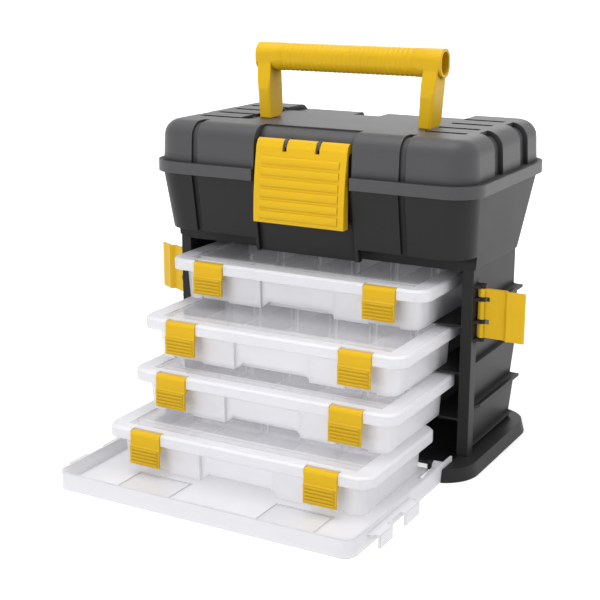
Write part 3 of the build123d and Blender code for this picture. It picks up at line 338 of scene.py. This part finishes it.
def frosted_plastic(name, colour, edge_colour, rough, milk):
    """A milky moulded plastic: denser at its edges, whose edge colour is painted light, greyer on
    the door as painted shade and paler on the lids as painted highlight, and light passes on
    through it.
    """
    material, tree, shader, grain, edges = plastic_surface(
        name,
        grain_size=0.9 * MM,
        grain_height=0.25,
        bump=0.12,
        edge_radius=MILKY_EDGE_ROUNDING,
        edge_wear_and_highlight=1.6,
    )
    mottle = grain.outputs["Mottle"]
    darker, lighter = toned(colour, 1 - MILKY_MOTTLING), toned(colour, 1 + MILKY_MOTTLING)
    milky = blended(tree, mottle, darker, lighter)
    # Edges painted in the edge colour: painted shade where it is greyer (the door), painted
    # highlight where it is paler (the lids)
    edged = blended(tree, edges.outputs["Wear And Highlight"], milky, edge_colour)
    # Recesses darkened as painted shade
    recess = placed(tree, RECESS_SHADE, Reach=MILKY_RECESS_REACH).outputs["Mask"]
    shaded = blended(tree, recess, edged, toned(colour, MILKY_RECESS_SHADE_TONE))
    tree.links.new(shaded, shader.inputs["Base Color"])
    roughness = spread(tree, mottle, 0.0, 1.0, rough - ROUGHNESS_SPREAD, rough + ROUGHNESS_SPREAD)
    tree.links.new(roughness, shader.inputs["Roughness"])
    path = tree.nodes.new("ShaderNodeLightPath")
    passing = sum_node(
        tree, "MAXIMUM", path.outputs["Is Shadow Ray"], path.outputs["Is Diffuse Ray"]
    )
    share = spread(tree, passing, 0.0, 1.0, 1.0, PASSING_DENSITY)
    thin, thick = milk - DENSITY_SPREAD, milk + DENSITY_SPREAD
    density = spread(tree, mottle, DENSITY_LOW, DENSITY_HIGH, thin, thick)
    at_edges = sum_node(tree, "MULTIPLY", edges.outputs["Wear And Highlight"], EDGE_DENSITY)
    denser = sum_node(tree, "ADD", density, at_edges)
    tree.links.new(sum_node(tree, "MULTIPLY", denser, share), shader.inputs["Alpha"])
    return material


def windowed_plastic(name, place):
    """The milky plastic of a case's lid, clearer and smoother inside its window."""
    material = frosted_plastic(name, LID_MILK, MILK_EDGE, rough=0.4, milk=0.72)
    tree = material.node_tree
    shader = tree.nodes["Principled BSDF"]
    x, y, z = (value * MM for value in place)
    window = placed(
        tree,
        FIELD,
        Middle_X=x,
        Half_X=WINDOW_HALF * MM,
        Low_Y=y + WINDOW_FRONT * MM,
        High_Y=y + WINDOW_BACK * MM,
        Low_Z=z + WINDOW_LEVEL * MM,
    ).outputs["Mask"]
    milky = shader.inputs["Alpha"].links[0].from_socket
    matte = shader.inputs["Roughness"].links[0].from_socket
    kept = spread(tree, window, 0.0, 1.0, 1.0, WINDOW_DENSITY)
    tree.links.new(sum_node(tree, "MULTIPLY", milky, kept), shader.inputs["Alpha"])
    smooth = sum_node(tree, "MULTIPLY", window, WINDOW_SMOOTHING)
    tree.links.new(sum_node(tree, "SUBTRACT", matte, smooth), shader.inputs["Roughness"])
    return material


def panelled_plastic(name):
    """The door's plastic, a little greyer in its two framed panels."""
    material = frosted_plastic(name, DOOR_MILK, DOOR_EDGE, rough=0.35, milk=0.72)
    tree = material.node_tree
    shader = tree.nodes["Principled BSDF"]
    shade = shader.inputs["Base Color"].links[0].from_socket
    for middle in (-PANEL_MIDDLE, PANEL_MIDDLE):
        panel = placed(
            tree,
            FIELD,
            Middle_X=middle * MM,
            Half_X=PANEL_HALF * MM,
            Low_Y=PANEL_FRONT * MM,
            High_Y=PANEL_BACK * MM,
            Low_Z=0.0,
        ).outputs["Mask"]
        shade = blended(tree, panel, shade, toned(DOOR_MILK, PANEL_TONE))
    tree.links.new(shade, shader.inputs["Base Color"])
    return material


charcoal = moulded_plastic(
    "charcoal moulding",
    CHARCOAL,
    PALE_CHARCOAL,
    rough=0.44,
    sheen=0.18,
    grain_size=0.7 * MM,
    grain_height=0.5,
    bump=0.3,
    wear_and_highlight=0.8,
    recess_shade_tone=0.35,
)
lid_grey = moulded_plastic(
    "grey moulding",
    MID_GREY,
    PALE_GREY,
    rough=0.42,
    sheen=0.32,
    grain_size=0.7 * MM,
    grain_height=0.5,
    bump=0.3,
    wear_and_highlight=0.8,
    recess_shade_tone=0.35,
)
yellow = moulded_plastic(
    "yellow moulding",
    YELLOW,
    PALE_YELLOW,
    rough=0.38,
    sheen=0.22,
    grain_size=0.9 * MM,
    grain_height=0.3,
    bump=0.15,
    wear_and_highlight=0.5,
    recess_shade_tone=0.72,
)
frosted = frosted_plastic("frosted moulding", MILK, MILK_EDGE, rough=0.42, milk=0.47)
divider_clear = frosted_plastic("divider moulding", MILK, MILK_EDGE, rough=0.3, milk=0.22)
rib_white = frosted_plastic("guide rib moulding", MILK_EDGE, MILK_EDGE, rough=0.4, milk=0.9)
door_white = panelled_plastic("door moulding")
steel = moulded_plastic(
    "drawn wire",
    STEEL,
    PALE_STEEL,
    rough=0.3,
    sheen=0.5,
    grain_size=0.4 * MM,
    grain_height=0.2,
    bump=0.1,
    wear_and_highlight=0.2,
    recess_shade_tone=0.8,
)
steel.node_tree.nodes["Principled BSDF"].inputs["Metallic"].default_value = 1.0

FINISHES = {
    "charcoal_plastic": charcoal,
    "grey_plastic": lid_grey,
    "yellow_plastic": yellow,
    "frosted_plastic": frosted,
    "steel_pin": steel,
}
OWN_FINISHES = {"front_door": door_white}
for number, place in CASE_PLACES.items():
    OWN_FINISHES[f"case_{number}_lid"] = windowed_plastic(f"case {number} lid moulding", place)
    OWN_FINISHES[f"case_{number}_dividers"] = divider_clear
SLOTS = {entry["node"]: entry["material_slot"] for entry in frame["record"]["subparts"]}

for node_name, node in frame["nodes"].items():
    finish = OWN_FINISHES.get(node_name) or FINISHES[SLOTS[node_name]]
    node.data.materials.clear()
    node.data.materials.append(finish)


def repeated_bars():
    """A tree that sweeps a round bar along each given curve and repeats it in a row along X."""
    tree = bpy.data.node_groups.new("repeated_bars", "GeometryNodeTree")
    sockets = {}
    for label, kind in (
        ("Geometry", "NodeSocketGeometry"),
        ("Count", "NodeSocketInt"),
        ("Pitch", "NodeSocketFloat"),
        ("Radius", "NodeSocketFloat"),
        ("Flatness", "NodeSocketFloat"),
        ("Material", "NodeSocketMaterial"),
    ):
        socket = tree.interface.new_socket(label, in_out="INPUT", socket_type=kind)
        sockets[label] = socket.identifier
    tree.interface.new_socket("Geometry", in_out="OUTPUT", socket_type="NodeSocketGeometry")
    given, result = tree.nodes.new("NodeGroupInput"), tree.nodes.new("NodeGroupOutput")
    section = tree.nodes.new("GeometryNodeCurvePrimitiveCircle")
    section.inputs["Resolution"].default_value = BAR_SIDES
    tree.links.new(given.outputs["Radius"], section.inputs["Radius"])
    squash = tree.nodes.new("ShaderNodeCombineXYZ")
    squash.inputs["Y"].default_value = squash.inputs["Z"].default_value = 1.0
    tree.links.new(given.outputs["Flatness"], squash.inputs["X"])
    pressed = tree.nodes.new("GeometryNodeTransform")
    tree.links.new(squash.outputs[0], pressed.inputs["Scale"])
    tree.links.new(section.outputs["Curve"], pressed.inputs["Geometry"])
    bar = tree.nodes.new("GeometryNodeCurveToMesh")
    bar.inputs["Fill Caps"].default_value = True
    tree.links.new(given.outputs["Geometry"], bar.inputs["Curve"])
    tree.links.new(pressed.outputs["Geometry"], bar.inputs["Profile Curve"])
    steps = sum_node(tree, "SUBTRACT", given.outputs["Count"], 1.0)
    reach = sum_node(tree, "MULTIPLY", steps, given.outputs["Pitch"])
    start = tree.nodes.new("ShaderNodeCombineXYZ")
    tree.links.new(sum_node(tree, "MULTIPLY", reach, -0.5), start.inputs["X"])
    offset = tree.nodes.new("ShaderNodeCombineXYZ")
    tree.links.new(given.outputs["Pitch"], offset.inputs["X"])
    row = tree.nodes.new("GeometryNodeMeshLine")
    tree.links.new(given.outputs["Count"], row.inputs["Count"])
    tree.links.new(start.outputs[0], row.inputs["Start Location"])
    tree.links.new(offset.outputs[0], row.inputs["Offset"])
    placed_bars = tree.nodes.new("GeometryNodeInstanceOnPoints")
    tree.links.new(row.outputs["Mesh"], placed_bars.inputs["Points"])
    tree.links.new(bar.outputs["Mesh"], placed_bars.inputs["Instance"])
    real = tree.nodes.new("GeometryNodeRealizeInstances")
    tree.links.new(placed_bars.outputs["Instances"], real.inputs["Geometry"])
    smooth = tree.nodes.new("GeometryNodeSetShadeSmooth")
    tree.links.new(real.outputs["Geometry"], smooth.inputs["Geometry"])
    finish = tree.nodes.new("GeometryNodeSetMaterial")
    tree.links.new(smooth.outputs["Geometry"], finish.inputs["Geometry"])
    tree.links.new(given.outputs["Material"], finish.inputs["Material"])
    tree.links.new(finish.outputs["Geometry"], result.inputs["Geometry"])
    return tree, sockets


BARS, BAR_SOCKETS = repeated_bars()


def row_of_bars(name, paths, closed, count, pitch, radius, material, flatness=1.0, end_size=1.0):
    """A plain mesh piece: round bars along the paths, repeated in a row along X."""
    curve = bpy.data.curves.new(name, "CURVE")
    curve.dimensions = "3D"
    for path in paths:
        spline = curve.splines.new("POLY")
        spline.points.add(len(path) - 1)
        for point, where in zip(spline.points, path):
            point.co = (*where, 1.0)
        spline.points[0].radius = spline.points[-1].radius = end_size
        spline.use_cyclic_u = closed
    maker = bpy.data.objects.new(f"{name}_path", curve)
    bpy.context.scene.collection.objects.link(maker)
    modifier = maker.modifiers.new("bars", "NODES")
    modifier.node_group = BARS
    for label, value in (
        ("Count", count),
        ("Pitch", pitch),
        ("Radius", radius),
        ("Flatness", flatness),
        ("Material", material),
    ):
        modifier[BAR_SOCKETS[label]] = value
    graph = bpy.context.evaluated_depsgraph_get()
    mesh = bpy.data.meshes.new_from_object(maker.evaluated_get(graph), depsgraph=graph)
    maker.modifiers.remove(modifier)
    bpy.data.objects.remove(maker)
    mesh.name = name
    if not mesh.materials:
        mesh.materials.append(material)
    piece = bpy.data.objects.new(name, mesh)
    bpy.context.scene.collection.objects.link(piece)
    return piece


# Handle: the grip's middle drawn in a little, with moulded rings on it
def grip_skeleton(y, z):
    """The nearest point of the grip section's inner rectangle to a point of the section."""
    near_y = GRIP_Y + max(-GRIP_FLAT_Y, min(GRIP_FLAT_Y, y - GRIP_Y))
    near_z = GRIP_Z + max(-GRIP_FLAT_Z, min(GRIP_FLAT_Z, z - GRIP_Z))
    return near_y, near_z


def drawn_in_grip():
    """A merged copy of the handle whose grip is thinner where the rings lie."""
    piece = bpy.data.objects.new("handle_moulding", frame["nodes"]["handle"].data.copy())
    bpy.context.scene.collection.objects.link(piece)
    shell = bmesh.new()
    shell.from_mesh(piece.data)
    bmesh.ops.remove_doubles(shell, verts=shell.verts, dist=MERGE_DISTANCE)
    for x in (-GRIP_END - RING_SINK, -GRIP_END, GRIP_END, GRIP_END + RING_SINK):
        everything = shell.verts[:] + shell.edges[:] + shell.faces[:]
        bmesh.ops.bisect_plane(
            shell, geom=everything, dist=CUT_DISTANCE, plane_co=(x, 0, 0), plane_no=(1, 0, 0)
        )
    for vertex in shell.verts:
        if abs(vertex.co.x) < GRIP_END + RING_SINK / 2 and vertex.co.z > GRIP_LEVEL:
            near = Vector((vertex.co.x, *grip_skeleton(vertex.co.y, vertex.co.z)))
            outward = (vertex.co - near).normalized()
            vertex.co -= outward * RING_SINK
    shell.to_mesh(piece.data)
    shell.free()
    return piece


def ring_path():
    """The closed line round the grip that a ring's bar follows, a quarter turn at each corner."""
    radius = GRIP_ROUND - RING_RADIUS
    points = []
    for quarter, (side_y, side_z) in enumerate(((1, 1), (-1, 1), (-1, -1), (1, -1))):
        for step in range(RING_STEPS + 1):
            angle = math.radians(90.0 * (quarter + step / RING_STEPS))
            y = GRIP_Y + side_y * GRIP_FLAT_Y + radius * math.cos(angle)
            z = GRIP_Z + side_z * GRIP_FLAT_Z + radius * math.sin(angle)
            points.append((0.0, y, z))
    return points


handle_moulding = drawn_in_grip()
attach(handle_moulding, "carry_handle")
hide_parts("handle")
grip_rings = row_of_bars(
    "grip_rings",
    [ring_path()],
    closed=True,
    count=RING_COUNT,
    pitch=RING_PITCH,
    radius=RING_RADIUS,
    material=yellow,
)
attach(grip_rings, "carry_handle")

# Front latch: soft finger ribs over its plate
def latch_rib_paths():
    """The line of each rib, short of the plate's sides and following its bulge."""
    half, tip = LATCH_RIB_HALF, LATCH_RIB_HALF + LATCH_RIB_TAPER
    brow_y, brow_z = LATCH_BROW
    paths = []
    for rib in range(LATCH_RIB_COUNT):
        level = LATCH_BOTTOM + LATCH_RIB_START + LATCH_RIB_PITCH * rib
        share = (brow_z - level) / (brow_z - LATCH_BOTTOM)
        bulge = LATCH_BULGE * (1 - (2 * share - 1) ** 2)
        face = brow_y + share * (LATCH_FOOT - brow_y) - bulge
        paths.append([(x * MM, face * MM, level * MM) for x in (-tip, -half, half, tip)])
    return paths


latch_ribs = row_of_bars(
    "front_latch_ribs",
    latch_rib_paths(),
    closed=False,
    count=1,
    pitch=0.0,
    radius=LATCH_RIB_RADIUS,
    material=yellow,
    flatness=LATCH_RIB_FLATNESS,
    end_size=LATCH_RIB_END,
)
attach(latch_ribs, "front_latch")

# Guide ribs on each case's back wall, a pair at each divider
guide_pair = [
    [(x, depth * MM, height * MM) for depth, height in (GUIDE_FOOT, GUIDE_HEAD)]
    for x in (-GUIDE_HALF_GAP, GUIDE_HALF_GAP)
]
for number, place in CASE_PLACES.items():
    ribs = row_of_bars(
        f"case_{number}_guide_ribs",
        guide_pair,
        closed=False,
        count=GUIDE_COUNT,
        pitch=GUIDE_PITCH,
        radius=GUIDE_RADIUS,
        material=rib_white,
    )
    for vertex in ribs.data.vertices:
        vertex.co += Vector(place) * MM
    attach(ribs, f"case_{number}")


def seen_directly(tree):
    """1 where the camera, a mirror reflection or clear plastic looks at this, else 0."""
    path = tree.nodes.new("ShaderNodeLightPath")
    seen = sum_node(
        tree, "MAXIMUM", path.outputs["Is Camera Ray"], path.outputs["Is Transmission Ray"]
    )
    return sum_node(tree, "MAXIMUM", seen, path.outputs["Is Glossy Ray"])


# Floor and surroundings: white to the camera, plain light on the object
def white_floor():
    """A large pale floor that reads as white and keeps a soft shadow."""
    mesh = bpy.data.meshes.new("floor")
    corners = [
        (x * FLOOR_REACH, y * FLOOR_REACH, 0) for x, y in ((-1, -1), (1, -1), (1, 1), (-1, 1))
    ]
    mesh.from_pydata(corners, [], [(0, 1, 2, 3)])
    floor = bpy.data.objects.new("floor", mesh)
    bpy.context.scene.collection.objects.link(floor)
    material = bpy.data.materials.new("paper floor")
    material.use_nodes = True
    tree = material.node_tree
    shader = tree.nodes["Principled BSDF"]
    shader.inputs["Base Color"].default_value = (0.8, 0.8, 0.8, 1.0)
    shader.inputs["Roughness"].default_value = 1.0
    shader.inputs["Specular IOR Level"].default_value = 0.0
    shader.inputs["Emission Color"].default_value = (1.0, 1.0, 1.0, 1.0)
    place = tree.nodes.new("ShaderNodeTexCoord")
    away = tree.nodes.new("ShaderNodeVectorMath")
    away.operation = "LENGTH"
    tree.links.new(place.outputs["Object"], away.inputs[0])
    glow = spread(tree, away.outputs["Value"], GLOW_NEAR, GLOW_FAR, GLOW_LOW, GLOW_HIGH)
    tree.links.new(
        sum_node(tree, "MULTIPLY", glow, seen_directly(tree)), shader.inputs["Emission Strength"]
    )
    floor.data.materials.append(material)
    floor.location.z = -FLOOR_DROP


white_floor()

world = bpy.data.worlds.new("studio")
bpy.context.scene.world = world
world.use_nodes = True
sky = world.node_tree
background = sky.nodes["Background"]
background.inputs["Color"].default_value = (1.0, 1.0, 1.0, 1.0)
sky_strength = spread(sky, seen_directly(sky), 0.0, 1.0, SKY_LIGHT, SKY_SEEN)
sky.links.new(sky_strength, background.inputs["Strength"])


def soft_lamp(name, place, aim_height, size, power, mirrored=True):
    """A square area lamp that points at the object's axis; mirrored shows it in glossy faces."""
    lamp = bpy.data.lights.new(name, "AREA")
    lamp.size = size
    lamp.energy = power
    holder = bpy.data.objects.new(name, lamp)
    bpy.context.scene.collection.objects.link(holder)
    holder.location = place
    aim = Vector((0, 0, aim_height)) - Vector(place)
    holder.rotation_euler = aim.to_track_quat("-Z", "Y").to_euler()
    holder.visible_glossy = mirrored


soft_lamp("window side", (1.8, 0.35, 1.15), aim_height=0.15, size=1.3, power=17.5, mirrored=False)
soft_lamp("overhead", (-0.1, -0.3, 1.8), aim_height=0.15, size=1.4, power=19.0)
soft_lamp("front fill", (-0.4, -1.9, 0.7), aim_height=0.12, size=1.3, power=16.5, mirrored=False)
soft_lamp("back sheen", (-0.5, 1.7, 1.3), aim_height=0.2, size=1.0, power=4.0)

# Camera, as fitted to the photograph
azimuth, elevation = math.radians(29.14), math.radians(15.24)
camera_data = bpy.data.cameras.new("camera")
camera_data.sensor_width = 36.0
camera_data.lens = 76.9
camera = bpy.data.objects.new("camera", camera_data)
bpy.context.scene.collection.objects.link(camera)
camera.location = (0.4512, -0.8801, 0.3738)
looking = Vector(
    (
        -math.sin(azimuth) * math.cos(elevation),
        math.cos(azimuth) * math.cos(elevation),
        -math.sin(elevation),
    )
)
camera.rotation_euler = looking.to_track_quat("-Z", "Y").to_euler()
bpy.context.scene.camera = camera
bpy.context.scene.view_settings.view_transform = "Standard"
bpy.context.scene.cycles.transparent_max_bounces = 40
